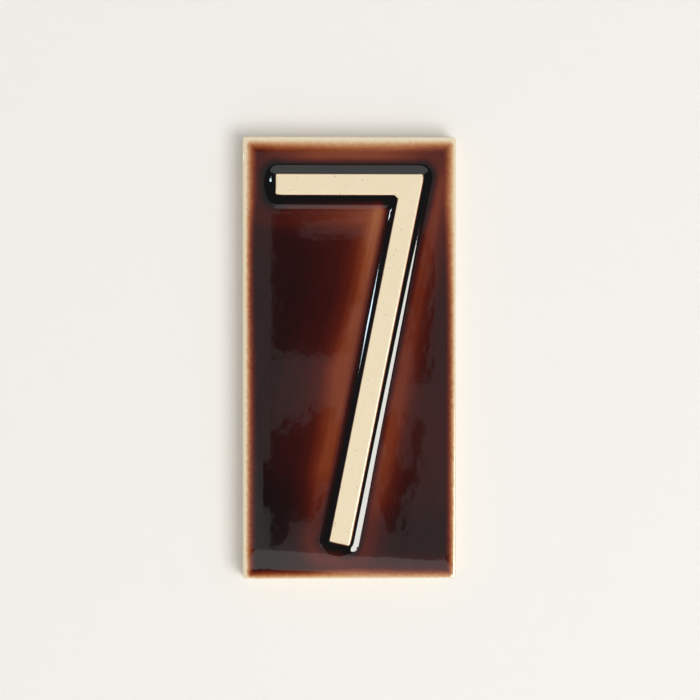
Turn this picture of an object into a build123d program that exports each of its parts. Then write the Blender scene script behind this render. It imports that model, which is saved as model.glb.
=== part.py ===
# House number plaque: one pressed earthenware tile with a raised figure 7.
# Millimetres. The tile stands upright on a wall: X is its width, Z its height, and its front looks along -Y.
# The origin is the middle of the back face, which lies on the wall.
import os
from math import cos, radians, sin, tan

from build123d import *

# Tile
tile_width = 73.5
tile_height = 152.0
tile_thickness = 9.5  # from the wall to the flat field round the figure
front_edge_radius = 1.1
field_corner_radius = 0.1  # what the rounded edge leaves of the tile's own corner
back_edge_chamfer = 0.6

# Figure 7, measured on its flat bare face
figure_width = 51.0
figure_height = 127.8
figure_drop = 0.6  # how far the figure's middle lies below the tile's
stroke_width = 7.25
stem_lean = 11.34  # degrees from upright
outer_corner_radius = 0.7

# Flank that runs from the figure's face down to the field
figure_relief = 1.45
flank_draft = 42.0  # degrees from square to the field
flank_lip = 0.2  # straight slope left between the face and the hollow foot
valley_radius = 0.4  # foot of the corner under the bar, where two flanks meet
face_edge_radius = 0.35

# Keying recesses that hold the bedding in the back
recess_count = 12
recess_margin = 8.0
recess_rib = 3.5
recess_depth = 0.8
recess_draft = 20.0  # degrees
recess_corner_radius = 1.5

tile_corner_radius = front_edge_radius + field_corner_radius

# Corners of the figure's face as (X, Z), clockwise from the top left end of the bar
lean = radians(stem_lean)
face_top = figure_height / 2 - figure_drop
face_right = figure_width / 2
bar_top_left = (-face_right, face_top)
bar_top_right = (face_right, face_top)
stem_end_right = (face_right - figure_height * tan(lean), face_top - figure_height)
stem_end_left = (
    stem_end_right[0] - stroke_width * cos(lean),
    stem_end_right[1] + stroke_width * sin(lean),
)
bar_bottom = face_top - stroke_width
inner_corner = (stem_end_left[0] + (bar_bottom - stem_end_left[1]) * tan(lean), bar_bottom)
bar_bottom_left = (-face_right, bar_bottom)

# The hollow foot takes all of the slope that the lip leaves it
draft = radians(flank_draft)
slope_run = figure_relief * tan(draft)
foot_tangent = figure_relief / cos(draft) - flank_lip
foot_radius = foot_tangent / tan(radians(90 - flank_draft) / 2)
inner_corner_radius = slope_run + valley_radius

recess_length = tile_width - 2 * recess_margin
recess_height = (tile_height - 2 * recess_margin + recess_rib) / recess_count - recess_rib

with BuildPart() as number_tile:
    # Slab, with a soft front edge and a broken back edge
    with BuildSketch(Plane.XZ):
        RectangleRounded(tile_width, tile_height, tile_corner_radius)
    extrude(amount=tile_thickness)
    fillet(number_tile.edges().group_by(Axis.Y)[0], front_edge_radius)
    chamfer(number_tile.edges().group_by(Axis.Y)[-1], back_edge_chamfer)

    # Figure, drawn on its face and widening down to the field
    with BuildSketch(Plane.XZ.offset(tile_thickness + figure_relief)) as figure_face:
        with BuildLine():
            Polyline(
                bar_top_left,
                bar_top_right,
                stem_end_right,
                stem_end_left,
                inner_corner,
                bar_bottom_left,
                close=True,
            )
        make_face()
        corners = figure_face.vertices().sort_by_distance(inner_corner)
        fillet(corners[1:], outer_corner_radius)
        fillet(figure_face.vertices().sort_by_distance(inner_corner)[0], inner_corner_radius)
    extrude(amount=-figure_relief, taper=-flank_draft)

    # Hollow foot all round the figure, where the glaze pools
    field = number_tile.faces().filter_by(Plane.XZ).sort_by(Axis.Y)[1]
    fillet(field.inner_wires()[0].edges(), foot_radius)

    # Soft edge of the bare face
    fillet(number_tile.edges().group_by(Axis.Y)[0], face_edge_radius)

    # Recesses across the back, with a rib between each two
    with BuildSketch(Plane.XZ):
        with GridLocations(0, recess_height + recess_rib, 1, recess_count):
            RectangleRounded(recess_length, recess_height, recess_corner_radius)
    extrude(amount=recess_depth, taper=recess_draft, mode=Mode.SUBTRACT)

number_tile.part.label = "number_tile"
os.makedirs("parts", exist_ok=True)
export_step(number_tile.part, "parts/number_tile.step")
print("number_tile", round(number_tile.part.volume), "mm3, foot radius", round(foot_radius, 2))
print("flank", round(slope_run + foot_tangent, 2), "mm wide, recesses", round(recess_height, 2), "mm high")
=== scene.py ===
# %% [markdown]
# # A glazed house number tile
#
# The object is one pressed earthenware tile that is bedded on the wall beside a door. A figure 7
# stands up from its front. The whole front was covered with a treacle brown glaze, and the face of
# the figure was wiped bare before the firing. This lesson models the tile from two flat planes, then
# gives it its two finishes, the bare clay and the glaze, and lights it on a studio wall.
#
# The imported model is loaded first. It is the frame that the piece has to fit: same axes, same size.

# %% Load the frame
import math

import bmesh
import bpy
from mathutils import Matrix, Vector
from numpy import interp


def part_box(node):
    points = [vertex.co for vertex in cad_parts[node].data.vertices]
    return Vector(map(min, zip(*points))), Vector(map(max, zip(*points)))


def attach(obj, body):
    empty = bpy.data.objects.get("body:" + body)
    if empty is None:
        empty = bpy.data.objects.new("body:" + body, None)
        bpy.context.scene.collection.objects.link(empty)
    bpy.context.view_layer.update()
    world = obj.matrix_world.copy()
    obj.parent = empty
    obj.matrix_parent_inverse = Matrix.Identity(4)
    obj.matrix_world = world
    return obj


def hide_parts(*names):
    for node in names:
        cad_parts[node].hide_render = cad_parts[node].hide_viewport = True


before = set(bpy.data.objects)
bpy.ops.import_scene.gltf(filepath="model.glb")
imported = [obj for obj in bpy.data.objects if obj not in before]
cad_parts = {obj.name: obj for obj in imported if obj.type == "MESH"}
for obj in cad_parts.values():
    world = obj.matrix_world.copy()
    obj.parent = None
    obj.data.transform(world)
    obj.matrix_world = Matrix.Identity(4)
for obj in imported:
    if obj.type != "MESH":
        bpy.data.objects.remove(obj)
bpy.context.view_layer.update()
tile_low, tile_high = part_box("number_tile")

MM = 0.001
tile_width = tile_high.x - tile_low.x
tile_height = tile_high.z - tile_low.z
tile_depth = tile_high.y - tile_low.y
print(f"frame: tile {tile_width / MM:.1f} x {tile_height / MM:.1f} mm, {tile_depth / MM:.2f} mm deep")

# %% [markdown]
# ## Sizes of the figure
#
# The figure is a bar and a leaning stem of the same stroke. Only its face is drawn; the rest follows
# from how wide the flank is that runs from the face down to the field. On the real tile that flank is
# a meniscus: glaze pools in the corner beside the raised figure, and its surface climbs the wall in a
# hollow curve that gets tighter as it rises. So the flank is a short straight toe, a wide foot arc and a
# tighter climbing arc, and above them come the small round edge of the face and its soft brow.

# %% Sizes of the figure
figure_relief = 1.45 * MM
field_depth = -tile_low.y - figure_relief  # from the wall to the flat field
figure_width = 51.0 * MM
figure_height = 127.8 * MM
figure_drop = 0.6 * MM
stroke_width = 7.25 * MM
stem_lean = math.radians(11.34)
outer_corner_radius = 0.7 * MM

toe_width = 0.4 * MM
toe_slope = math.radians(6.5)
foot_radius = 7.2 * MM
foot_slope = math.radians(20)
steepest = math.radians(48)
face_edge_radius = 0.35 * MM
brow_slope = math.radians(22)
brow_radius = 1.1 * MM


def arc_run(radius, slope_a, slope_b):
    return radius * abs(math.sin(slope_b) - math.sin(slope_a))


def arc_rise(radius, slope_a, slope_b):
    return radius * abs(math.cos(slope_b) - math.cos(slope_a))


brow_rise = arc_rise(brow_radius, brow_slope, 0)
toe_rise = toe_width * math.tan(toe_slope)
foot_rise = arc_rise(foot_radius, toe_slope, foot_slope)
edge_rise = arc_rise(face_edge_radius, steepest, brow_slope)
climb_rise = figure_relief - toe_rise - foot_rise - edge_rise - brow_rise
climb_radius = climb_rise / arc_rise(1, foot_slope, steepest)
flank_width = (
    toe_width
    + arc_run(foot_radius, toe_slope, foot_slope)
    + arc_run(climb_radius, foot_slope, steepest)
    + arc_run(face_edge_radius, steepest, brow_slope) / 2
)

face_right = figure_width / 2
face_top = figure_height / 2 - figure_drop
bar_bottom = face_top - stroke_width
stem_down = Vector((-math.sin(stem_lean), 0, -math.cos(stem_lean)))
stem_across = Vector((math.cos(stem_lean), 0, -math.sin(stem_lean)))
stem_length = figure_height / math.cos(stem_lean)
print(f"figure: climbing arc {climb_radius / MM:.2f} mm, flank {flank_width / MM:.2f} mm wide")

# %% [markdown]
# ## Picking in edit mode
#
# Every operator works on what is selected, so each step starts by picking the vertices, edges or
# faces it needs by their place. One helper does that: it clears the selection, sets the select mode
# and selects what a test wants.

# %% Picking in edit mode
def pick(kind, wanted):
    """Selects those "verts", "edges" or "faces" of the mesh in edit mode that the test wants."""
    bpy.ops.mesh.select_mode(type=kind[:-1].upper())
    bpy.ops.mesh.select_all(action="DESELECT")
    mesh = bmesh.from_edit_mesh(bpy.context.object.data)
    found = [item for item in getattr(mesh, kind) if wanted(item)]
    for item in found:
        item.select_set(True)
    mesh.select_flush_mode()
    bmesh.update_edit_mesh(bpy.context.object.data)
    return len(found)


def is_near(a, b, gap=0.001 * MM):
    return abs(a - b) < gap


def middle(edge):
    return (edge.verts[0].co + edge.verts[1].co) / 2


def runs_along(edge, direction):
    along = edge.verts[1].co - edge.verts[0].co
    return abs(along.normalized().dot(direction)) > 0.99999


# %% [markdown]
# ## The foot of the figure
#
# The outline that the flank has on the field is the face's outline moved out by the flank's width. It
# starts as a plane for the bar. Its lower right corner moves in to where bar and stem meet, the slanted
# edge is extruded down the stem, a bisect cuts the stem off square, and the seam is dissolved. That
# leaves one flat face with six corners. A single face is needed, because inset only works inwards.

# %% The foot of the figure
corner_reach = flank_width * (1 + math.sin(stem_lean)) / math.cos(stem_lean)
bar_left = -face_right - flank_width
bar_right = face_right + corner_reach
foot_top = face_top + flank_width
foot_bottom = bar_bottom - flank_width
stem_end_right = Vector((face_right, 0, face_top)) + stem_down * stem_length
stem_end_left = stem_end_right - stem_across * stroke_width
inner_corner_x = stem_end_left.x + (bar_bottom - stem_end_left.z) * math.tan(stem_lean)
valley_x = inner_corner_x - corner_reach

bpy.ops.object.select_all(action="DESELECT")
bpy.ops.mesh.primitive_plane_add(
    size=1,
    location=((bar_left + bar_right) / 2, -field_depth, (foot_top + foot_bottom) / 2),
    rotation=(math.radians(90), 0, 0),
)
tile = bpy.context.object
tile.name = "glazed_number_tile"
tile.scale = (bar_right - bar_left, foot_top - foot_bottom, 1)
bpy.ops.object.transform_apply(location=True, rotation=True, scale=True)

bpy.ops.object.mode_set(mode="EDIT")
pick("verts", lambda v: is_near(v.co.x, bar_right) and is_near(v.co.z, foot_bottom))
bpy.ops.transform.translate(value=(valley_x - bar_right, 0, 0))
pick("edges", lambda e: middle(e).x > valley_x and not runs_along(e, Vector((1, 0, 0))))
rough_length = stem_length + 4 * flank_width
bpy.ops.mesh.extrude_region_move(TRANSFORM_OT_translate={"value": stem_down * rough_length})
bpy.ops.mesh.select_all(action="SELECT")
bpy.ops.mesh.bisect(plane_co=stem_end_right + stem_down * flank_width, plane_no=stem_down, clear_outer=True)
pick("edges", lambda e: len(e.link_faces) == 2)
bpy.ops.mesh.dissolve_edges(use_verts=False)
foot_mesh = bmesh.from_edit_mesh(tile.data)
print(f"foot: {len(foot_mesh.faces)} face with {len(foot_mesh.verts)} corners")

# %% [markdown]
# ## Round corners
#
# The face's outer corners are soft, and the pooled glaze goes round them in a wide curve. A vertex bevel
# draws both at once: the radius on the field is the face's own radius plus the flank's width, and each
# inset towards the face then takes its part off. The bevel wants the distance from the corner to where
# the arc starts, which is longer on the sharp corner at the top right than on the square ones. There the
# bevel draws part of an ellipse, so it gets the radius that makes the tightest place as wide as the others.

# %% Round corners
corner_segments = 10
foot_corner_radius = outer_corner_radius + flank_width


def round_corners(wanted, distance, segments):
    """Rounds the corners of a flat outline, starting each arc at that distance from its corner."""
    corners = pick("verts", wanted)
    bpy.ops.mesh.bevel(
        affect="VERTICES", offset=distance, segments=segments, profile=0.5, clamp_overlap=False
    )
    return corners


def is_sharp_corner(vert):
    return is_near(vert.co.x, bar_right)


def is_valley(vert):
    return is_near(vert.co.x, valley_x) and is_near(vert.co.z, foot_bottom)


sharp_half_angle = (math.radians(90) - stem_lean) / 2
square_corners = round_corners(
    lambda v: not is_sharp_corner(v) and not is_valley(v), foot_corner_radius, corner_segments
)
sharp_corner_radius = foot_corner_radius / (math.sqrt(2) * math.sin(sharp_half_angle))
round_corners(is_sharp_corner, sharp_corner_radius / math.tan(sharp_half_angle), corner_segments)
print(f"corners: {square_corners} square ones, one sharp one, {foot_corner_radius / MM:.2f} mm at the foot")

# %% [markdown]
# ## The flank
#
# The flank is a profile that goes all round the figure. It could be swept, but then every corner would
# need its own joint. Insetting the face again and again is simpler: each inset goes in by one step of the
# profile and up by the same step, so the rings stay parallel to the outline. Small steps on the arcs
# keep reflections smooth. The last inset stays flat and holds the shading of the face level.

# %% The flank
flat_rim = 0.06 * MM
arcs = [  # radius, slope at the start, slope at the end, steps
    (foot_radius, toe_slope, foot_slope, 12),
    (climb_radius, foot_slope, steepest, 10),
    (face_edge_radius, steepest, brow_slope, 5),
    (brow_radius, brow_slope, 0, 4),
]
arc_in, arc_up = toe_width, toe_rise
profile = [(arc_in / 2, arc_up / 2), (arc_in, arc_up)]
for radius, slope_a, slope_b, steps in arcs:
    for step in range(1, steps + 1):
        slope = slope_a + (slope_b - slope_a) * step / steps
        profile.append((arc_in + arc_run(radius, slope_a, slope), arc_up + arc_rise(radius, slope_a, slope)))
    arc_in, arc_up = profile[-1]
profile.append((arc_in + flat_rim, arc_up))

pick("faces", lambda f: True)
reached_in, reached_up = 0.0, 0.0
for inward, upward in profile:
    bpy.ops.mesh.inset(
        thickness=inward - reached_in, depth=upward - reached_up, use_boundary=True, use_even_offset=True
    )
    reached_in, reached_up = inward, upward
face_edge = (reached_in - flat_rim) / MM
print(f"flank: {len(profile)} rings, {reached_up / MM:.3f} mm up, edge of the face at {face_edge:.3f} mm")

# %% [markdown]
# ## The valley under the bar
#
# Where the bar's flank and the stem's flank meet, glaze has filled the corner and rounded it. The insets
# left a sharp fold there. Its edges run from the field up to the face in one chain, and an edge bevel
# along that chain turns the fold into the same arc on every ring.

# %% The valley under the bar
valley_radius = 1.5 * MM
valley_segments = 8
valley_slope = (1 + math.sin(stem_lean)) / math.cos(stem_lean)


def is_on_fold(vert):
    beside = (vert.co.x - valley_x) - (vert.co.z - foot_bottom) * valley_slope
    return is_near(beside, 0) and vert.co.z < bar_bottom + flank_width


fold_edges = pick("edges", lambda e: all(is_on_fold(v) for v in e.verts))
bpy.ops.mesh.bevel(
    affect="EDGES",
    offset_type="ABSOLUTE",
    offset=valley_radius / math.tan(sharp_half_angle),
    segments=valley_segments,
    profile=0.5,
    clamp_overlap=False,
)
print(f"valley: {fold_edges} edges rounded")

# %% [markdown]
# ## Even spacing along the sides
#
# The long sides are still single edges. Cutting all the rings of one side at once gives rows of small
# quads, which the later displacement needs, and the same count of points on every ring.

# %% Even spacing along the sides
side_spacing = 1.4 * MM
across = Vector((1, 0, 0))
upright = Vector((0, 0, 1))
stem_middle = stem_end_right - stem_across * stroke_width / 2


def is_side(edge, direction):
    """Tells a ring's long edge from the short ones of its corners and the ones that join two rings."""
    return runs_along(edge, direction) and edge.calc_length() > stroke_width / 2


def is_right_of_stem(edge):
    return (middle(edge) - stem_middle).dot(stem_across) > 0


def is_in_upper_bar(edge):
    return middle(edge).z > face_top - stroke_width / 2


figure_sides = {
    "bar_top": lambda e: is_side(e, across) and is_in_upper_bar(e),
    "stem_right": lambda e: is_side(e, stem_down) and is_right_of_stem(e),
    "stem_end": lambda e: is_side(e, stem_across),
    "stem_left": lambda e: is_side(e, stem_down) and not is_right_of_stem(e),
    "bar_bottom": lambda e: is_side(e, across) and not is_in_upper_bar(e),
    "bar_end": lambda e: is_side(e, upright),
}
side_parts = {}
for side, belongs in figure_sides.items():
    rings = pick("edges", belongs)
    mesh = bmesh.from_edit_mesh(tile.data)
    side_parts[side] = round(min(e.calc_length() for e in mesh.edges if e.select) / side_spacing)
    bpy.ops.mesh.subdivide(number_cuts=side_parts[side] - 1)
    print(f"{side}: {rings} rings in {side_parts[side]} parts")

# %% [markdown]
# ## Round ends
#
# Surface tension draws the pool at both ends of the figure into a bow, while the face above keeps its
# straight edge. Proportional editing does that: the middle of the outermost ring is pulled outwards, and
# the other points follow it less the further off they are. It reaches just as far as the flank is wide,
# so the edge of the face stays where it is.

# %% Round ends
stem_bow, stem_bow_half = 1.2 * MM, 1.3 * MM  # how far it is pulled, and half the width that is pulled
stem_bow_shift = 0.7 * MM  # to the left
bar_bow, bar_bow_half = 0.5 * MM, 0.2 * MM
bar_middle = Vector((bar_left, -field_depth, bar_bottom + stroke_width / 2))
foot_of_stem = stem_middle + stem_down * flank_width - stem_across * stem_bow_shift
foot_of_stem.y = -field_depth
for end_middle, outwards, pull, half_width in (
    (foot_of_stem, stem_down, stem_bow, stem_bow_half),
    (bar_middle, -across, bar_bow, bar_bow_half),
):
    pulled = pick(
        "verts",
        lambda v: is_near((v.co - end_middle).dot(outwards), 0) and (v.co - end_middle).length < half_width,
    )
    bpy.ops.transform.translate(
        value=outwards * pull,
        use_proportional_edit=True,
        proportional_edit_falloff="INVERSE_SQUARE",
        proportional_size=flank_width,
    )
    print(f"end: {pulled} points pulled out by {pull / MM:.2f} mm")

# %% [markdown]
# ## The field
#
# The flat field lies between the foot of the figure and the tile's outline. Filling the gap with
# triangles would do for a flat sheet, but the field gets a soft roll at its border and a faint ripple,
# so it needs rows of quads. A second plane becomes the outline, with its corners rounded and its sides
# cut so that it has as many points as the foot. Then the two loops are bridged. The outline lies at the
# wall until then, because bridging takes the way round from the depth between the loops, and two loops
# in one plane can be joined the wrong way round.

# %% The outline of the tile
tile_corner_radius = 1.2 * MM
outline_segments = 8
valley_row = 5 * MM  # where the rows that start in the valley and at the bar's end reach the left side
bar_end_row = 53 * MM
shared_rows = 14  # rows of each side of the stem that fan out to the bottom side

bpy.ops.mesh.primitive_plane_add(size=1, location=(0, 0, 0), rotation=(math.radians(90), 0, 0))
bpy.ops.transform.resize(value=(tile_width, 1, tile_height), center_override=(0, 0, 0))
bpy.ops.mesh.select_mode(type="FACE")
bpy.ops.mesh.delete(type="ONLY_FACE")
round_corners(
    lambda v: is_near(abs(v.co.x), tile_width / 2) and is_near(abs(v.co.z), tile_height / 2),
    tile_corner_radius,
    outline_segments,
)


def is_on_left(vert):
    return is_near(vert.co.x, -tile_width / 2)


pick("edges", lambda e: all(is_on_left(v) for v in e.verts))
bpy.ops.mesh.subdivide(number_cuts=2)
straight_half = tile_height / 2 - tile_corner_radius
for third, row in ((-1, valley_row), (1, bar_end_row)):
    pick("verts", lambda v: is_on_left(v) and is_near(v.co.z, third * straight_half / 3))
    bpy.ops.transform.translate(value=(0, 0, row - third * straight_half / 3))
print(f"outline: corners of {tile_corner_radius / MM:.1f} mm, the left side in three parts")

# %% Points on the outline
half_corner = corner_segments // 2
half_outline = outline_segments // 2
bar_end_rows = corner_segments + side_parts["bar_end"]
valley_rows = half_corner + side_parts["bar_bottom"] + valley_segments // 2
outline_sides = {
    "top": (
        lambda e: is_near(middle(e).z, tile_height / 2),
        corner_segments + side_parts["bar_top"] - outline_segments,
    ),
    "right": (
        lambda e: is_near(middle(e).x, tile_width / 2),
        corner_segments + side_parts["stem_right"] - shared_rows - outline_segments,
    ),
    "bottom": (
        lambda e: is_near(middle(e).z, -tile_height / 2),
        corner_segments + side_parts["stem_end"] + 2 * shared_rows - outline_segments,
    ),
    "left, below": (
        lambda e: is_near(middle(e).x, -tile_width / 2) and middle(e).z < valley_row,
        half_corner + side_parts["stem_left"] + valley_segments // 2 - shared_rows - half_outline,
    ),
    "left, middle": (
        lambda e: is_near(middle(e).x, -tile_width / 2) and valley_row < middle(e).z < bar_end_row,
        valley_rows,
    ),
    "left, above": (
        lambda e: is_near(middle(e).x, -tile_width / 2) and middle(e).z > bar_end_row,
        bar_end_rows - half_outline,
    ),
}
for side, (belongs, parts) in outline_sides.items():
    pick("edges", belongs)
    bpy.ops.mesh.subdivide(number_cuts=parts - 1)
    print(f"outline, {side}: {parts} parts")

# %% The field
loop_edges = pick("edges", lambda e: len(e.link_faces) < 2)
bpy.ops.mesh.bridge_edge_loops(twist_offset=0)
pick("verts", lambda v: is_near(v.co.y, 0))
bpy.ops.transform.translate(value=(0, -field_depth, 0))
print(f"field: bridged {loop_edges} edges")

# %% [markdown]
# ## Sides and back
#
# The outline is extruded to the wall and closed with one face. A pressed tile has no sharp edge: the
# front edge is rounded by the die, so it gets a small round bevel, which the glaze softens further below,
# and the back edge gets the plain chamfer that lets it out of the die. The bevel comes before the field
# is cut into rows, because it needs room to slide along the long edges.

# %% Sides and back
front_edge_radius = 0.35 * MM
front_edge_segments = 5
back_edge_chamfer = 0.6 * MM

pick("edges", lambda e: len(e.link_faces) == 1)
bpy.ops.mesh.extrude_region_move(TRANSFORM_OT_translate={"value": (0, field_depth, 0)})
bpy.ops.mesh.edge_face_add()


def is_outline_at(edge, depth):
    on_level = all(is_near(v.co.y, -depth) for v in edge.verts)
    return on_level and any(abs(f.normal.y) < 0.5 for f in edge.link_faces)


pick("edges", lambda e: is_outline_at(e, field_depth))
bpy.ops.mesh.bevel(
    affect="EDGES", offset=front_edge_radius, segments=front_edge_segments, profile=0.5, clamp_overlap=False
)
back_edges = pick("edges", lambda e: is_outline_at(e, 0))
bpy.ops.mesh.bevel(affect="EDGES", offset=back_edge_chamfer, segments=1, clamp_overlap=False)
print(f"sides: {back_edges} faces round the tile")

# %% Rows on the field
field_cuts = 90


def is_field_row(edge):
    return all(is_near(v.co.y, -field_depth) for f in edge.link_faces for v in f.verts)


field_rows = pick("edges", is_field_row)
bpy.ops.mesh.subdivide(number_cuts=field_cuts)
print(f"field: {field_rows} rows of {field_cuts + 1} quads")

# %% [markdown]
# ## Recesses in the back
#
# The back is pressed with shallow lanes that key the bedding. The back face is cut along the lanes by
# bisecting, first at both margins and then across the strip between them. The lanes are inset one by one,
# in and down at once, so that their walls get the draft that frees them from the die, and the four sloped
# corners of each lane are rounded.

# %% Recesses in the back
recess_count = 12
recess_margin = 8.0 * MM
recess_rib = 3.5 * MM
recess_depth = 0.8 * MM
recess_draft = math.radians(20)
recess_corner_radius = 1.5 * MM
recess_corner_segments = 5
lane_pitch = (tile_height - 2 * recess_margin + recess_rib) / recess_count
lane_half_length = tile_width / 2 - recess_margin
lane_half_height = (lane_pitch - recess_rib) / 2
lane_middles = [(lane - (recess_count - 1) / 2) * lane_pitch for lane in range(recess_count)]


def is_back(face):
    return all(is_near(v.co.y, 0) for v in face.verts)


def is_between_margins(face):
    return is_back(face) and abs(face.calc_center_median().x) < lane_half_length


for margin in (-lane_half_length, lane_half_length):
    pick("faces", is_back)
    bpy.ops.mesh.bisect(plane_co=(margin, 0, 0), plane_no=across)
for lane_middle in lane_middles:
    for side in (-1, 1):
        pick("faces", is_between_margins)
        bpy.ops.mesh.bisect(plane_co=(0, 0, lane_middle + side * lane_half_height), plane_no=upright)


def is_lane(face):
    centre = face.calc_center_median()
    return is_between_margins(face) and any(is_near(centre.z, z) for z in lane_middles)


lanes = pick("faces", is_lane)
bpy.ops.mesh.inset(
    thickness=recess_depth * math.tan(recess_draft), depth=-recess_depth, use_individual=True
)


def is_lane_corner(edge):
    deep = max(v.co.y for v in edge.verts) - min(v.co.y for v in edge.verts)
    return is_near(deep, recess_depth) and abs(middle(edge).x) < lane_half_length


lane_corners = pick("edges", is_lane_corner)
bpy.ops.mesh.bevel(
    affect="EDGES",
    offset_type="ABSOLUTE",
    offset=recess_corner_radius,
    segments=recess_corner_segments,
    clamp_overlap=False,
)
print(f"back: {lanes} lanes with {lane_corners} rounded corners")

# %% [markdown]
# ## Soft shading
#
# Some of the operators leave faces that look inwards, so all normals are turned outwards first. Shading
# smooth by angle then blends the small faces of the flank and of the rounded edges into one surface, and
# keeps the chamfer and the rims of the recesses crisp.

# %% Soft shading
smooth_below = math.radians(30)

bpy.ops.mesh.select_all(action="SELECT")
bpy.ops.mesh.normals_make_consistent(inside=False)
bpy.ops.object.mode_set(mode="OBJECT")
bpy.ops.object.shade_smooth_by_angle(angle=smooth_below)
print(f"tile: {len(tile.data.vertices)} points, {len(tile.data.polygons)} faces")

# %% [markdown]
# ## Distances that the glaze follows
#
# Molten glaze runs off edges and gathers in corners, so how deep it lies depends on where a point is: how
# far from the figure's face and each of its six sides, and how far from the tile's border. On the flank
# the height tells the distance, because the profile is known; on the field it is the distance to the
# face's outline, corners rounded. A shader can't measure that, so it is worked out for every point here.

# %% Distances that the glaze follows
inset = outer_corner_radius
corner_line = [  # the face's outline, moved in by as much as rounding its corners moves it out again
    Vector((inset - face_right, 0, face_top - inset)),
    Vector((face_right - inset * valley_slope, 0, face_top - inset)),
    stem_end_right - stem_across * inset - stem_down * inset,
    stem_end_left + stem_across * inset - stem_down * inset,
    Vector((inner_corner_x + inset * valley_slope, 0, bar_bottom + inset)),
    Vector((inset - face_right, 0, bar_bottom + inset)),
]


def distances_to_sides(point):
    """How far a point lies from the bar's top, right, stem's end, stem's left, bar's underside and end."""
    flat = Vector((point.x, 0, point.z))
    gaps = []
    for start, end in zip(corner_line, corner_line[1:] + corner_line[:1]):
        along = end - start
        share = max(0.0, min(1.0, (flat - start).dot(along) / along.length_squared))
        gaps.append((flat - start - along * share).length - outer_corner_radius)
    return gaps


never_zero = 1e-12  # because two rings can have the same height


def distance_on_flank(height):
    """How far out from the face's outline the flank has that height over the field."""
    lower = (0.0, 0.0)
    for upper in profile:
        if height <= upper[1]:
            break
        lower = upper
    share = (height - lower[1]) / max(upper[1] - lower[1], never_zero)
    return flank_width - lower[0] - share * (upper[0] - lower[0])


def distance_to_border(point, short_of, corner):
    """How far inside a border with corners of that radius a point lies."""
    to_side = tile_width / 2 - abs(point.x) - short_of["left" if point.x < 0 else "right"] * MM
    to_end = tile_height / 2 - abs(point.z) - short_of["bottom" if point.z < 0 else "top"] * MM
    if to_side < corner and to_end < corner:
        return corner - math.hypot(corner - to_side, corner - to_end)
    return min(to_side, to_end)


# %% [markdown]
# ## How deep the glaze lies
#
# The glaze ran before it set, so it is no even coat. It stands in a pool round the figure. On the sides
# turned from the softbox its colour is drawn a little over the edge of the face, which is painted shade, and
# on the lit sides its lip is drawn thinner and lighter, which is painted light. It is thin just outside the
# pool, which has drawn it in, and deeper out on the field, and it runs out at the border, slower on one side
# than on another. A mask painted by hand could hold all that, but a table can be read and changed. So each
# of these is a short table of places in millimetres and what the glaze has there, with straight lines
# between.

# %% Tables of the glaze
pool_end = 5.0  # mm from the face's outline to where the pool has run out
pool_spreads = [1.1, 0.0, 0.5, 0.0, 0.4, 1.6]  # mm that it reaches further, side by side
pool_right = {42: 0.8, 52: 1.5}  # what is added to that on the right, by height
painted_shade_over_face = (0.35, 0.0, 0.11, 0.36, 0.0, 0.3)  # painted shade: mm of the face's edge that the glaze colour is drawn over, side by side, most on the sides turned from the softbox
side_blend = 0.15 * MM
lit_blend = 0.3 * MM
painted_light_lip_share = 0.55  # painted light: on the lit sides, right and at the stem's end, the lip's glaze rises slower by this share, so it shows lighter

left_coat = {-71: 2.1, -65: 2.5, -56: 2.55, -48: 2.1, -38: 1.5, 22: 1.45, 48: 1.0}  # by height
left_clear = {-50: 7.7, -40: 7.9, -28: 7.3, -15: 8.3, -4: 9.5, 5: 7.9, 20: 6.5}  # mm off the stem, by height
left_beyond = {0: 0.0, 5.5: 1.2, 9.5: 1.8, 23.5: 2.8}  # what is added further off than that
left_low = {-45: 1.3, -25: 1.0}  # times this, by height
under_bar_coat = {10: 1.5, 32: 2.6}  # by the distance from the stem
under_bar_end = {-28: 0.5, -18: 0.0}  # by the place across
under_bar_drop, under_bar_growth = 9.0, 0.17  # mm below the bar, and what each further mm adds
right_coat = {-58: 2.5, -50: 1.95, -40: 1.7, -23: 1.6, -4: 1.75, 20: 1.95, 45: 1.8, 57: 1.8}  # by height
right_beyond = {7.5: 0.0, 10: 0.6, 13: 1.3, 16: 1.75}  # by the distance from the stem
right_low = {-72: 0.25, -66: 1.0}  # times this, by height
over_bar_coat = {-30: 2.75, -25: 2.2, -18: 1.85, -12: 1.5, 10: 1.45, 20: 1.8, 30: 2.35}  # across
coat_blend = 0.6
right_turn = (-1, 5)  # mm nearer to the stem's right than to its left where the right's tables take over
over_turn = (61, 67)  # mm of height where the table over the bar takes over

glaze_edges = {"left": 0.1, "right": -0.45, "bottom": -0.9, "top": 0.1}  # mm it stops short of each
border_corner = 3.0 * MM  # the glaze rounds the field's corners wider than the clay does
border_growth = 0.55
corner_blend = 3.0 * MM  # from one side's growth to the next
rim_growth = {  # along the left and right by height, along the bottom and top by the place across
    "left": {-62: 0.95, -42: 0.87, -21: 0.78, 0: 0.8, 20: 1.0, 40: 1.0, 54: 0.55, 68: 0.49},
    "right": {5: 1.0, 20: 0.9, 40: 0.6, 54: 0.36, 68: 0.46},
    "bottom": {-30: 0.9, -17: 0.8, -7: 0.56, 3: 0.47, 11: 0.58, 21: 0.7},
    "top": {-30: 0.44, -24: 0.34, -17: 0.32, 0: 0.25, 17: 0.28, 28: 0.4},
}
print(f"tables: pool {pool_end:.1f} mm wide, borders {', '.join(rim_growth)}")


# %% How deep the glaze lies
def graded(table, place):
    """What a table has at that place."""
    return interp(place, list(table), list(table.values()))


def between(value, low, high):
    """0 up to low, 1 from high on, straight between."""
    return max(0.0, min(1.0, (value - low) / (high - low)))


def soft_min(a, b, blend):
    """The smaller of two values, rounded off where they are alike."""
    near = max(blend - abs(a - b), 0.0) / blend
    return min(a, b) - near**3 * blend / 6


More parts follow.
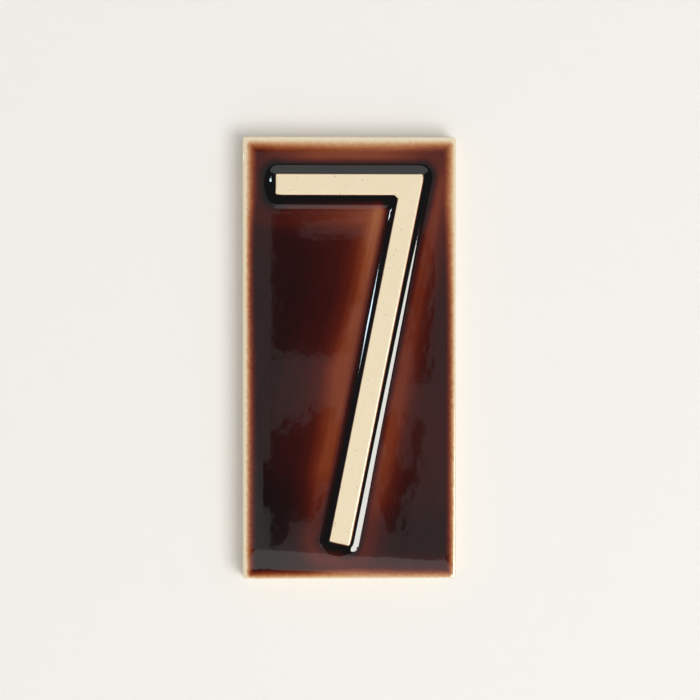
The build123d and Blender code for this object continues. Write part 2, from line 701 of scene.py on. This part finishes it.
def painted_shade_shift(sides, gap):
    """How far the glaze colour is drawn over the face as painted shade: each side counts the less, the
    further off it is.
    """
    shares = [math.exp(-abs(side - gap) / side_blend) for side in sides]
    return MM * sum(share * reach for share, reach in zip(shares, painted_shade_over_face)) / max(1.0, sum(shares))


def pool_reach(point, sides):
    """How many mm a point lies inside the pool, which reaches further out on some sides than on others."""
    spreads = list(pool_spreads)
    spreads[1] += graded(pool_right, point.z / MM)
    reaches = [max(0.0, pool_end + spread - side / MM) for side, spread in zip(sides, spreads)]
    in_valley = reaches[3] + reaches[4]
    return max(reaches + [in_valley])


def coat(point, sides):
    """How deep the glaze lies on the open field, in the units of the filter."""
    x, z = point.x / MM, point.z / MM
    off_stem = min(sides[1:4]) / MM
    beyond = graded(left_beyond, off_stem - graded(left_clear, z)) * graded(left_low, z)
    left = graded(left_coat, z) + beyond
    under_bar = graded(under_bar_coat, off_stem) + graded(under_bar_end, x)
    under_bar += under_bar_growth * max(0.0, bar_bottom / MM - under_bar_drop - z)
    right = graded(right_coat, z) + graded(right_beyond, off_stem) * graded(right_low, z)
    is_right = between((sides[3] - sides[1]) / MM, *right_turn)
    is_over = between(z, *over_turn)
    beside = soft_min(left, under_bar, coat_blend) * (1 - is_right) + right * is_right
    return beside * (1 - is_over) + graded(over_bar_coat, x) * is_over


def rim(point):
    """How fast the glaze deepens from its border inwards."""
    x, z = point.x / MM, point.z / MM
    side = graded(rim_growth["left" if x < 0 else "right"], z)
    end = graded(rim_growth["bottom" if z < 0 else "top"], x)
    to_side = tile_width / 2 - abs(point.x)
    to_end = tile_height / 2 - abs(point.z)
    nearer_end = between(to_side - to_end, -corner_blend, corner_blend)
    return border_growth * (side * (1 - nearer_end) + end * nearer_end)


# %% Store it with the points
hair = 0.0005 * MM  # what lies higher than that over the field is the figure
stored = {name: [] for name in ("figure_gap", "painted_light_and_shade_lip_gap", "border_gap", "pool_reach", "coat", "rim")}
for vert in tile.data.vertices:
    height = -vert.co.y - field_depth
    sides = distances_to_sides(vert.co)
    figure_gap = distance_on_flank(height) if height > hair else min(sides)
    # painted light and shade: the lip is drawn thinner on the lit sides, and the glaze colour is drawn over
    # the face's edge on the sides turned from the softbox
    is_lit = between(min(sides[:1] + sides[3:]) - min(sides[1:3]), -lit_blend, lit_blend)
    painted_light_and_shade_lip_gap = figure_gap * (1 - painted_light_lip_share * is_lit) + painted_shade_shift(sides, figure_gap)
    border_gap = distance_to_border(vert.co, glaze_edges, border_corner)
    measures = [gap / MM for gap in (figure_gap, painted_light_and_shade_lip_gap, border_gap)]
    measures += [pool_reach(vert.co, sides), coat(vert.co, sides), rim(vert.co)]
    for values, measure in zip(stored.values(), measures):
        values.append(measure)

for name, values in stored.items():
    layer = tile.data.attributes.new(name, "FLOAT", "POINT")
    layer.data.foreach_set("value", values)
    print(f"{name}: {min(values):.2f} to {max(values):.2f}")

# %% [markdown]
# ## The lie of the glaze
#
# A glazed field is never a perfect mirror. It rolls off over the last centimetre towards the border and
# bends round its edge like a cushion. Under the bar the glaze ran down and set in a low swell. And it
# keeps a faint long ripple from the pour. All of that is real shape, so it is made with Displace
# modifiers: plain ones that push points by the weights of a vertex group, and one with a cloud texture
# for the ripple. The face of the figure and the back stay flat.

# %% The lie of the glaze
roll_radius = 115.0 * MM
roll_sides = {"left": 9.5, "right": 7.4}  # mm from the border at which the field starts to roll off
roll_ends = {"top": {-10: 9.5, 22: 7.4}, "bottom": {-28: 10.5, 28: 6.5}}  # the same, by the place across
cushion_width, cushion_radius = 0.8 * MM, 1.8 * MM
deepest_drop = 1.2 * MM
highest_swell = 0.4 * MM
bar_run = {0.05: 0.0, 0.75: 0.33, 2.4: 0.33, 3.4: 0.19, 4.8: 0.03, 5.3: 0.0}  # mm high, by mm off the bar
valley_run = {0.05: 0.0, 0.75: 0.09, 5.2: 0.09, 8.8: 0.0}  # mm high, by mm below the bar
end_turn = (5, 60)  # degrees round the bar's end in which the swell runs out
stem_turn = (0.1, 1.0)  # mm off the stem in which it starts
valley_turn = (2.5, 4.5)  # mm off the stem in which the run down the valley ends
ripple_size = 7.0 * MM
ripple_height = 0.017 * MM
ripple_fade = 3.0 * MM
flush = dict.fromkeys(glaze_edges, 0.0)


def border_drop(point, edge_gap):
    """How far the glaze lies back at a point near the border."""
    side_roll = roll_sides["left" if point.x < 0 else "right"]
    end_roll = graded(roll_ends["top" if point.z > 0 else "bottom"], point.x / MM)
    past_side = max(0.0, side_roll * MM + abs(point.x) - tile_width / 2)
    past_end = max(0.0, end_roll * MM + abs(point.z) - tile_height / 2)
    roll = (past_side**2 + past_end**2) / (2 * roll_radius)
    return roll + max(0.0, cushion_width - max(edge_gap, 0.0)) ** 2 / (2 * cushion_radius)


def swell(point):
    """How far the glaze stands up where it ran: under the bar and down the valley."""
    below_bar = (bar_bottom - point.z) / MM
    from_bar = distances_to_sides(point)[4] / MM
    off_stem = (stem_end_left - point).dot(stem_across) / MM
    beyond_end = max(0.0, outer_corner_radius - face_right - point.x) / MM
    round_end = math.degrees(math.atan2(beyond_end, below_bar + outer_corner_radius / MM))
    along_bar = (1 - between(round_end, *end_turn)) * between(off_stem, *stem_turn)
    tail = graded(valley_run, below_bar) * (1 - between(off_stem, *valley_turn))
    return MM * along_bar * max(graded(bar_run, from_bar), tail)


# %% Weights for the glaze
roll_group = tile.vertex_groups.new(name="roll")
swell_group = tile.vertex_groups.new(name="swell")
ripple_group = tile.vertex_groups.new(name="ripple")
for index, vert in enumerate(tile.data.vertices):
    if vert.co.y < -field_depth / 2:
        swell_group.add([index], swell(vert.co) / highest_swell, "REPLACE")
        if -vert.co.y < field_depth + hair:
            edge_gap = distance_to_border(vert.co, flush, tile_corner_radius)
            roll_group.add([index], border_drop(vert.co, edge_gap) / deepest_drop, "REPLACE")
            fade = min(edge_gap, stored["figure_gap"][index] * MM - flank_width) / ripple_fade
            ripple_group.add([index], max(0.0, min(1.0, fade)), "REPLACE")
print("weights:", ", ".join(group.name for group in tile.vertex_groups))


# %% Push the glaze into shape
def displace(name, group, height, texture=None):
    """Pushes the grouped points along Y by that height and applies the modifier."""
    modifier = tile.modifiers.new(name, "DISPLACE")
    modifier.vertex_group = group
    modifier.direction = "Y"
    modifier.strength = height
    modifier.mid_level = 0.5 if texture else 0.0
    modifier.texture = texture
    modifier.texture_coords = "LOCAL"
    bpy.ops.object.modifier_apply(modifier=name)


ripple_clouds = bpy.data.textures.new("ripple_clouds", "CLOUDS")
ripple_clouds.noise_scale = ripple_size
ripple_clouds.noise_depth = 2
displace("border roll", "roll", deepest_drop)
displace("glaze run", "swell", -highest_swell)
displace("pour ripple", "ripple", ripple_height, ripple_clouds)
tile.vertex_groups.clear()
print(f"glaze: {sum(v.co.y < -field_depth for v in tile.data.vertices)} points stand above the field")

# %% [markdown]
# ## Colours and nodes
#
# Colours are written as sRGB hex values, as a colour picker shows them, and turned to linear light for the
# shader. One small function adds a node, sets it and links it.

# %% Colours and nodes
def colour(hex_value):
    """Linear RGBA of an sRGB hex colour."""
    parts = [int(hex_value[i : i + 2], 16) / 255 for i in (1, 3, 5)]
    return [c / 12.92 if c <= 0.04045 else ((c + 0.055) / 1.055) ** 2.4 for c in parts] + [1.0]


def add_node(tree, kind, settings=None, inputs=None):
    """Adds a node, sets its properties, and gives its inputs values or links."""
    node = tree.nodes.new(kind)
    for name, value in (settings or {}).items():
        setattr(node, name, value)
    for key, value in (inputs or {}).items():
        if isinstance(value, bpy.types.NodeSocket):
            tree.links.new(value, node.inputs[key])
        else:
            node.inputs[key].default_value = value
    return node


def new_material(name):
    """An empty node material and its output node."""
    material = bpy.data.materials.new(name)
    material.use_nodes = True
    material.node_tree.nodes.clear()
    return material, add_node(material.node_tree, "ShaderNodeOutputMaterial")


# %% [markdown]
# ## Bare earthenware
#
# The face of the figure, the sides and the back show the fired body: a fine cream earthenware, pressed
# from dust and left unglazed. That gives a dull, even cream with a very faint mottle, a grain of about a
# third of a millimetre and, here and there, a dark speck of iron. On the brow, round the edge of the face,
# the wiping left a film of glaze, which shines where the Coat of the shader is. On the sides turned from the
# softbox the brow is darkened with the glaze's colour instead. That is painted shade, and it makes the bare
# face look a little narrower there.

# %% Bare earthenware, its colour
mottle_size = 6.0 * MM
speck_spacing = 1.9 * MM
speck_radius = 0.25 * MM
speck_core = 0.4  # the share of the radius that is dark all over
speck_share = 0.55  # of the places that get a speck

bare_clay, clay_output = new_material("pressed_bare_earthenware")
tree = bare_clay.node_tree
place = add_node(tree, "ShaderNodeTexCoord").outputs["Object"]
mottle = add_node(
    tree, "ShaderNodeTexNoise", None, {"Vector": place, "Scale": 1 / mottle_size, "Detail": 3.0}
)
mottled = add_node(
    tree,
    "ShaderNodeMix",
    {"data_type": "RGBA"},
    {0: mottle.outputs["Fac"], 6: colour("#E5D3AF"), 7: colour("#EDDDBD")},
)
specks = add_node(
    tree, "ShaderNodeTexVoronoi", None, {"Vector": place, "Scale": 1 / speck_spacing, "Randomness": 1.0}
)
speck_reach = speck_radius / speck_spacing
speck_edge = add_node(
    tree,
    "ShaderNodeMapRange",
    {"interpolation_type": "SMOOTHSTEP"},
    {"Value": specks.outputs["Distance"], 1: speck_reach, 2: speck_core * speck_reach},
)
speck_draw = add_node(tree, "ShaderNodeSeparateColor", None, {0: specks.outputs["Color"]})
is_speck = add_node(
    tree, "ShaderNodeMath", {"operation": "LESS_THAN"}, {0: speck_draw.outputs["Red"], 1: speck_share}
)
speck = add_node(
    tree, "ShaderNodeMath", {"operation": "MULTIPLY"}, {0: speck_edge.outputs[0], 1: is_speck.outputs[0]}
)
specked = add_node(
    tree,
    "ShaderNodeMix",
    {"data_type": "RGBA"},
    {0: speck.outputs[0], 6: mottled.outputs[2], 7: colour("#9E8B6B")},
)
print(f"clay: a speck every {speck_spacing / MM / speck_share**0.5:.1f} mm or so")

# %% Bare earthenware, film, painted shade and grain
FILTER = "#A4694D"  # what one unit of the glaze's depth lets through
lip_start, lip_end = -0.07, 0.42  # mm from where the glaze ends to where it is full
film_middle = -0.1  # mm from the face's outline, so a little inside it
film_reach = 0.32  # mm to both sides of that
# painted shade: how dark the glaze colour is drawn on the brow of the sides turned from the softbox
painted_shade_depth = 9.0
grain_size = 0.35 * MM  # coarser than the pressed dust, so that it shows
grain_height = 0.01 * MM

made = {}
for name in ("figure_gap", "painted_light_and_shade_lip_gap"):
    made[name] = add_node(tree, "ShaderNodeAttribute", {"attribute_name": name}).outputs["Fac"]
# painted shade: the brow on the sides turned from the softbox is darkened with the glaze's filter colour,
# and its coat is taken away there
made["painted_shade"] = add_node(
    tree,
    "ShaderNodeMapRange",
    {"interpolation_type": "SMOOTHSTEP"},
    {"Value": made["painted_light_and_shade_lip_gap"], 1: lip_start, 2: lip_end},
).outputs[0]
for result, operation, *terms in (
    ("film", "COMPARE", "figure_gap", film_middle, film_reach),
    ("painted_shade", "MULTIPLY", "painted_shade", "film"),
    ("clear_film", "SUBTRACT", "film", "painted_shade"),
    ("painted_shade", "POWER", "painted_shade", 2.0),
    ("painted_shade", "MULTIPLY", "painted_shade", painted_shade_depth),
):
    inputs = {index: made.get(term, term) for index, term in enumerate(terms)}
    made[result] = add_node(tree, "ShaderNodeMath", {"operation": operation}, inputs).outputs[0]

held_back = add_node(tree, "ShaderNodeGamma", None, {"Color": colour(FILTER), "Gamma": made["painted_shade"]})
painted_shade_colour = add_node(
    tree,
    "ShaderNodeMix",
    {"data_type": "RGBA", "blend_type": "MULTIPLY"},
    {0: 1.0, 6: specked.outputs[2], 7: held_back.outputs[0]},
)
grain = add_node(
    tree, "ShaderNodeTexNoise", None, {"Vector": place, "Scale": 1 / grain_size, "Detail": 2.0}
)
grain_bump = add_node(
    tree, "ShaderNodeBump", None, {"Height": grain.outputs["Fac"], "Distance": grain_height, "Strength": 0.5}
)
clay_shader = add_node(
    tree,
    "ShaderNodeBsdfPrincipled",
    None,
    {
        "Base Color": painted_shade_colour.outputs[2],
        "Roughness": 0.55,
        "IOR": 1.45,
        "Coat Weight": made["clear_film"],
        "Coat Roughness": 0.2,
        "Coat IOR": 1.55,
        "Normal": grain_bump.outputs[0],
    },
)
tree.links.new(clay_shader.outputs[0], clay_output.inputs[0])
print("material:", bare_clay.name)

# %% [markdown]
# ## Treacle glaze
#
# A treacle glaze is a clear lead glass coloured with iron. It lies on the cream body like syrup: where it
# is thin it is honey, then rust, and where it is thick it is nearly black. That is how light dies in a
# coloured glass, by the same share in each further millimetre, so the colour is the clay's colour times
# the filter colour to the power of the depth. The Gamma node is that power. The depth comes from what is
# stored with the points: nothing at the lip of the face, deep in the pool beside the figure, thin just
# outside the pool, deeper out on the field, and running out at a ragged border. Faint streaks follow the
# figure, as the glaze ran, and under the thinnest glaze the clay is stained a warmer cream. The sums are
# a recipe: each line makes one Math node from what the lines before it made.

# %% Treacle glaze, its depth
pool_growth = 0.31
border_bare, border_power = 0.8, 1.6
depth_blend = 0.6
ragged_size = 1.1 * MM
ragged_reach = 0.7  # mm
streak_width = 1.3  # mm
streak_length = 25 * MM
streak_depth = 0.05

glaze, glaze_output = new_material("poured_treacle_glaze")
tree = glaze.node_tree
place = add_node(tree, "ShaderNodeTexCoord").outputs["Object"]
made = {}
for name in stored:
    made[name] = add_node(tree, "ShaderNodeAttribute", {"attribute_name": name}).outputs["Fac"]
made["ragged"] = add_node(
    tree, "ShaderNodeTexNoise", None, {"Vector": place, "Scale": 1 / ragged_size, "Detail": 2.0}
).outputs["Fac"]
# the lip follows the stored lip gap, which carries painted light (a thinner lip on the lit sides) and
# painted shade (glaze colour drawn over the face's edge on the sides turned from the softbox)
made["lip"] = add_node(
    tree,
    "ShaderNodeMapRange",
    {"interpolation_type": "SMOOTHSTEP"},
    {"Value": made["painted_light_and_shade_lip_gap"], 1: lip_start, 2: lip_end},
).outputs[0]
for result, operation, *terms in (
    ("ragged", "SUBTRACT", "ragged", 0.5),
    ("ragged", "MULTIPLY", "ragged", ragged_reach),
    ("lip", "POWER", "lip", 2.0),
    ("pool", "SUBTRACT", "pool_reach", "ragged"),
    ("pool", "MAXIMUM", "pool", 0.0),
    ("pool", "POWER", "pool", 2.0),
    ("pool", "MULTIPLY", "pool", pool_growth),
    ("by_figure", "ADD", "pool", "coat"),
    ("by_figure", "MULTIPLY", "lip", "by_figure"),
    ("by_border", "ADD", "border_gap", "ragged"),
    ("by_border", "SUBTRACT", "by_border", border_bare),
    ("by_border", "MAXIMUM", "by_border", 0.0),
    ("by_border", "POWER", "by_border", border_power),
    ("by_border", "MULTIPLY", "by_border", "rim"),
    ("depth", "SMOOTH_MIN", "by_figure", "by_border", depth_blend),
    ("streak", "DIVIDE", "figure_gap", streak_width),
):
    inputs = {index: made.get(term, term) for index, term in enumerate(terms)}
    made[result] = add_node(tree, "ShaderNodeMath", {"operation": operation}, inputs).outputs[0]

streak_shift = add_node(tree, "ShaderNodeCombineXYZ", None, {0: made["streak"]})
streak_place = add_node(
    tree,
    "ShaderNodeVectorMath",
    {"operation": "MULTIPLY_ADD"},
    {0: place, 1: [1 / streak_length] * 3, 2: streak_shift.outputs[0]},
)
streaks = add_node(
    tree, "ShaderNodeTexNoise", None, {"Vector": streak_place.outputs[0], "Scale": 1.0, "Detail": 2.0}
)
streaked = add_node(
    tree,
    "ShaderNodeMapRange",
    None,
    {"Value": streaks.outputs["Fac"], 1: 0.25, 2: 0.75, 3: 1 - streak_depth, 4: 1 + streak_depth},
)
depth = add_node(
    tree, "ShaderNodeMath", {"operation": "MULTIPLY"}, {0: made["depth"], 1: streaked.outputs[0]}
).outputs[0]
print("depth of the glaze from", ", ".join(stored))

# %% Treacle glaze, its colour and gloss
CLAY = "#ECDCBE"
stain_depth = 0.35
peel_size = 2.8 * MM
peel_height = 0.0035 * MM

held_back = add_node(tree, "ShaderNodeGamma", None, {"Color": colour(FILTER), "Gamma": depth})
stain = add_node(
    tree,
    "ShaderNodeMapRange",
    {"interpolation_type": "SMOOTHSTEP"},
    {"Value": depth, 1: 0.0, 2: stain_depth},
)
stained = add_node(
    tree,
    "ShaderNodeMix",
    {"data_type": "RGBA"},
    {0: stain.outputs[0], 6: colour(CLAY), 7: colour("#ECD0A8")},
)
seen_clay = add_node(
    tree,
    "ShaderNodeMix",
    {"data_type": "RGBA", "blend_type": "MULTIPLY"},
    {0: 1.0, 6: stained.outputs[2], 7: held_back.outputs[0]},
)
orange_peel = add_node(
    tree, "ShaderNodeTexNoise", None, {"Vector": place, "Scale": 1 / peel_size, "Detail": 2.0}
)
peel_bump = add_node(
    tree,
    "ShaderNodeBump",
    None,
    {"Height": orange_peel.outputs["Fac"], "Distance": peel_height, "Strength": 1.0},
)
glaze_shader = add_node(
    tree,
    "ShaderNodeBsdfPrincipled",
    None,
    {"Base Color": seen_clay.outputs[2], "Roughness": 0.03, "IOR": 1.55, "Normal": peel_bump.outputs[0]},
)
tree.links.new(glaze_shader.outputs[0], glaze_output.inputs[0])
print("material:", glaze.name)

# %% [markdown]
# ## Which faces are glazed
#
# The glaze covers the front up to the lip of the figure's face and over the rounded border. The face,
# the sides and the back stay bare.

# %% Which faces are glazed
tile.data.materials.append(bare_clay)
tile.data.materials.append(glaze)
bare_level = field_depth + figure_relief - brow_rise
faces_front = -0.05  # how far a face looks forwards where the glaze ends on the rounded border
for polygon in tile.data.polygons:
    is_face = -polygon.center.y > bare_level
    polygon.material_index = 1 if polygon.normal.y < faces_front and not is_face else 0
print("glazed faces:", sum(p.material_index for p in tile.data.polygons))

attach(tile, "root")
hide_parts("number_tile")

# %% [markdown]
# ## Camera
#
# The camera stands nearly square on, a little to the left and above. Its long lens keeps the tile's sides
# all but parallel.

# %% Camera
camera_distance = 0.9
camera_azimuth = math.radians(-2.74)
camera_elevation = math.radians(1.0)
picture_pixels = 700
focal_pixels = 2590
camera_aim = Vector((0.6 * MM, 0, 2.6 * MM))


def aim(azimuth, elevation, distance):
    """The point at that distance from the tile, seen from its front: azimuth to the right, elevation up."""
    level = math.cos(elevation)
    return distance * Vector(
        (math.sin(azimuth) * level, -math.cos(azimuth) * level, math.sin(elevation))
    )


camera_data = bpy.data.cameras.new("camera")
camera = bpy.data.objects.new("camera", camera_data)
bpy.context.scene.collection.objects.link(camera)
camera_data.lens = focal_pixels / picture_pixels * camera_data.sensor_width
camera.location = aim(camera_azimuth, camera_elevation, camera_distance)
camera.rotation_euler = (camera_aim - camera.location).to_track_quat("-Z", "Y").to_euler()
bpy.context.scene.camera = camera
print(f"camera: {camera_data.lens:.1f} mm lens at {[round(c, 3) for c in camera.location]} m")

# %% [markdown]
# ## Wall and floor
#
# The tile hangs on a pale wall that falls to a pale floor far below the picture. The wall has an opening
# behind the tile, hidden by it, so that the back gets light too, and it can be looked through from behind.
# Both have a matt paint, which gives an even ground with no gleam of its own.

# %% Wall and floor
PALE = "#F4F2EE"
wall_gap = 0.2 * MM
stage_reach = 4.0
floor_drop = 2.2

pale_paint, paint_output = new_material("pale_wall_paint")
tree = pale_paint.node_tree
paint = add_node(
    tree,
    "ShaderNodeBsdfPrincipled",
    None,
    {"Base Color": colour(PALE), "Roughness": 0.9, "Specular IOR Level": 0.2},
)
see_through = add_node(tree, "ShaderNodeBsdfTransparent")
backface = add_node(tree, "ShaderNodeNewGeometry").outputs["Backfacing"]
one_sided = add_node(
    tree, "ShaderNodeMixShader", None, {0: backface, 1: paint.outputs[0], 2: see_through.outputs[0]}
)
tree.links.new(one_sided.outputs[0], paint_output.inputs[0])


def stage_plane(name, material, middle_point, width, length, rotation=(0, 0, 0), corners=4):
    """A flat plane of the stage, at its size and place; with many corners it is an oval."""
    bpy.ops.object.select_all(action="DESELECT")
    if corners == 4:
        bpy.ops.mesh.primitive_plane_add(size=1, location=middle_point, rotation=rotation)
    else:
        bpy.ops.mesh.primitive_circle_add(
            vertices=corners, radius=0.5, fill_type="NGON", location=middle_point, rotation=rotation
        )
    plane = bpy.context.object
    plane.name = name
    plane.scale = (width, length, 1)
    bpy.ops.object.transform_apply(location=True, rotation=True, scale=True)
    plane.data.materials.append(material)
    return plane


facing_front = (math.radians(90), 0, 0)
opening_width = tile_width - 2 * back_edge_chamfer
opening_height = tile_height - 2 * back_edge_chamfer
wall = stage_plane("wall", pale_paint, (0, wall_gap, 0), opening_width, opening_height, facing_front)
bpy.ops.object.mode_set(mode="EDIT")
pick("edges", lambda e: True)
bpy.ops.mesh.extrude_region_move(TRANSFORM_OT_translate={"value": (0, 0, 0)})
bpy.ops.transform.resize(
    value=(2 * stage_reach / opening_width, 1, 2 * stage_reach / opening_height),
    center_override=(0, wall_gap, 0),
)
pick("faces", lambda f: abs(f.calc_center_median().x) < MM and abs(f.calc_center_median().z) < MM)
bpy.ops.mesh.delete(type="FACE")
bpy.ops.mesh.select_all(action="SELECT")
bpy.ops.mesh.normals_make_consistent(inside=False)
mesh = bmesh.from_edit_mesh(wall.data)
if next(iter(mesh.faces)).normal.y > 0:
    bpy.ops.mesh.flip_normals()
bpy.ops.object.mode_set(mode="OBJECT")
floor = stage_plane("floor", pale_paint, (0, -stage_reach / 2, -floor_drop), 2 * stage_reach, stage_reach)
floor.visible_glossy = False
print("stage:", wall.name, "and", floor.name)

# %% [markdown]
# ## Light
#
# A little over half of the light is an even fill from all round, and the rest comes from one big softbox
# at the lower right, which throws the short shadows to the left and above. Both together light the wall so
# that a colour renders about as it is written. Reflections see a darker room than that fill.

# %% Light
fill_level = 0.56
mirrored_level = 0.15
key_level = 0.435
key_direction = (math.radians(26.5), math.radians(-19.5))
key_distance = 3.0
key_width = 2 * key_distance * math.tan(math.radians(15.5))
key_height = 2 * key_distance * math.tan(math.radians(16.3))

world = bpy.data.worlds.new("studio")
bpy.context.scene.world = world
world.use_nodes = True
tree = world.node_tree
tree.nodes.clear()
ray = add_node(tree, "ShaderNodeLightPath")
white = colour("#FFFFFF")
fill = add_node(tree, "ShaderNodeBackground", None, {"Color": white, "Strength": fill_level})
dark = add_node(tree, "ShaderNodeBackground", None, {"Color": white, "Strength": mirrored_level})
pale = add_node(tree, "ShaderNodeBackground", None, {"Color": colour(PALE), "Strength": 1.0})
lit = add_node(
    tree,
    "ShaderNodeMixShader",
    None,
    {0: ray.outputs["Is Glossy Ray"], 1: fill.outputs[0], 2: dark.outputs[0]},
)
shown = add_node(
    tree,
    "ShaderNodeMixShader",
    None,
    {0: ray.outputs["Is Camera Ray"], 1: lit.outputs[0], 2: pale.outputs[0]},
)
add_node(tree, "ShaderNodeOutputWorld", None, {0: shown.outputs[0]})


def facing_tile(place):
    """The turn that makes a lamp or a card at that place look at the tile."""
    return place.to_track_quat("Z", "Y").to_euler()


key_place = aim(*key_direction, key_distance)
key_data = bpy.data.lights.new("softbox", "AREA")
key_data.shape = "RECTANGLE"
key_data.size = key_width
key_data.size_y = key_height
slant = -key_place.normalized().y
key_data.energy = key_level * math.pi**2 * key_distance**2 / slant
key = bpy.data.objects.new("softbox", key_data)
bpy.context.scene.collection.objects.link(key)
key.location = key_place
key.rotation_euler = facing_tile(key_place)
key.visible_camera = False
key.visible_glossy = False
print(f"light: softbox of {key_data.energy:.0f} W")

# %% [markdown]
# ## What the glaze mirrors
#
# Glossy glaze shows the room. A picture of a room could be wrapped round the scene, but plain cards can be
# placed one by one. They stand for the room and are seen only in reflections: the softbox's own white
# face, a strip of window at the left, the ceiling, the far floor and the pale end of the room behind the
# camera, with flags of dark cloth before it.

# %% Cards that only reflections show
def mirror_card(card):
    for ray_kind in ("camera", "diffuse", "transmission", "volume_scatter", "shadow"):
        setattr(card, "visible_" + ray_kind, False)


def glow(name, hex_value, strength):
    material, output = new_material(name)
    light = add_node(
        material.node_tree, "ShaderNodeEmission", None, {"Color": colour(hex_value), "Strength": strength}
    )
    material.node_tree.links.new(light.outputs[0], output.inputs[0])
    return material


softbox_place = aim(math.radians(27.3), math.radians(-19.4), key_distance)
softbox_width = 2 * key_distance * math.tan(math.radians(15.2))
softbox_height = 2 * key_distance * math.tan(math.radians(17.2))
oval_corners = 64
window_distance = 2.5
window_place = aim(math.radians(-34.3), math.radians(7.25), window_distance)
cards = {  # colour, glow, place, width, length, turn, corners
    "softbox_face": (
        "#FFFEF6",
        16.5,
        softbox_place,
        softbox_width,
        softbox_height,
        facing_tile(softbox_place),
        oval_corners,
    ),
    "window": ("#DDF2FF", 26.0, window_place, 0.39, 0.08, facing_tile(window_place)),
    "ceiling": ("#FFFFFF", 1.1, (0, -0.88, 0.6), 1.6, 1.66),
    "far_floor": ("#FFFFFF", 1.1, (0.175, -3.825, -0.6), 1.25, 2.95),
}
for name, (hex_value, strength, *shape) in cards.items():
    mirror_card(stage_plane(name, glow(f"{name}_glow", hex_value, strength), *shape))
print("mirrored:", ", ".join(cards))

# %% The end of the room
room_end_place = (0.1, -3.2, 0.061)
room_end_size = (1.3, 0.898)
room_slant = 2.4  # how steep the line runs on whose left side the wall is brighter
bright_until, dim_from = -1.0, -0.6
bright_level, dim_level = 0.62, 0.42

room_glow, room_output = new_material("room_glow")
tree = room_glow.node_tree
place = add_node(tree, "ShaderNodeTexCoord").outputs["Object"]
room = add_node(tree, "ShaderNodeSeparateXYZ", None, {0: place})
slant = add_node(
    tree,
    "ShaderNodeMath",
    {"operation": "MULTIPLY_ADD"},
    {0: room.outputs["Z"], 1: room_slant, 2: room.outputs["X"]},
)
brightness = add_node(
    tree,
    "ShaderNodeMapRange",
    {"interpolation_type": "SMOOTHSTEP"},
    {"Value": slant.outputs[0], 1: bright_until, 2: dim_from, 3: bright_level, 4: dim_level},
)
room_light = add_node(tree, "ShaderNodeEmission", None, {"Strength": brightness.outputs[0]})
tree.links.new(room_light.outputs[0], room_output.inputs[0])
mirror_card(stage_plane("room_end", room_glow, room_end_place, *room_end_size, facing_front))
print("mirrored: room_end")

# %% Dark flags
flag_distance = 3.0
flag_cloth = glow("flag_cloth", "#FFFFFF", 0.12)
flags = {  # left, right, bottom and top in mm: what a flat mirror in the tile's plane would show of each
    "flag_upper_left": (-26.6, 0.2, 2, 41.8),
    "flag_under_bar": (-26.6, 0.2, 48.4, 51.5),
    "flag_by_bar_end": (-26.6, -17, 41.8, 48.4),
    "flag_lower_left": (-28, -15, -56, -26),
    "flag_low_left_top": (-22, -16, -26, -21.5),
    "flag_low_left_foot": (-28, -21, -64, -56),
    "flag_low_left_edge": (-60, -28, -54, -36),
    "flag_lower_stem": (-15, -3, -44, -17),
    "flag_lower_stem_foot": (-15, -10.5, -57, -44),
    "flag_right": (21, 28.4, -7.6, 44),
    "flag_by_stem": (0.2, 5.5, 19, 40),
    "flag_lower_right": (12.2, 18.2, -49, -20),
    "flag_low_right_edge": (21.6, 25, -45, -22),
    "flag_low_right_foot": (18.2, 21.6, -49, -38),
    "flag_bottom_right": (12.2, 18, -62, -49),
    "flag_stand": (-27.7, -27.1, -72, 41.8),
}
beyond = flag_distance / camera_distance
for name, (left, right, bottom, top) in flags.items():
    sides = [x * MM + (x * MM - camera.location.x) * beyond for x in (left, right)]
    levels = [z * MM + (z * MM - camera.location.z) * beyond for z in (bottom, top)]
    middle_point = (sum(sides) / 2, -flag_distance, sum(levels) / 2)
    mirror_card(
        stage_plane(name, flag_cloth, middle_point, sides[1] - sides[0], levels[1] - levels[0], facing_front)
    )
print(f"mirrored: {len(flags)} flags")

# %% [markdown]
# ## View
#
# The Standard view shows colours as they are written, with no film look laid over them.

# %% View
bpy.context.scene.view_settings.view_transform = "Standard"
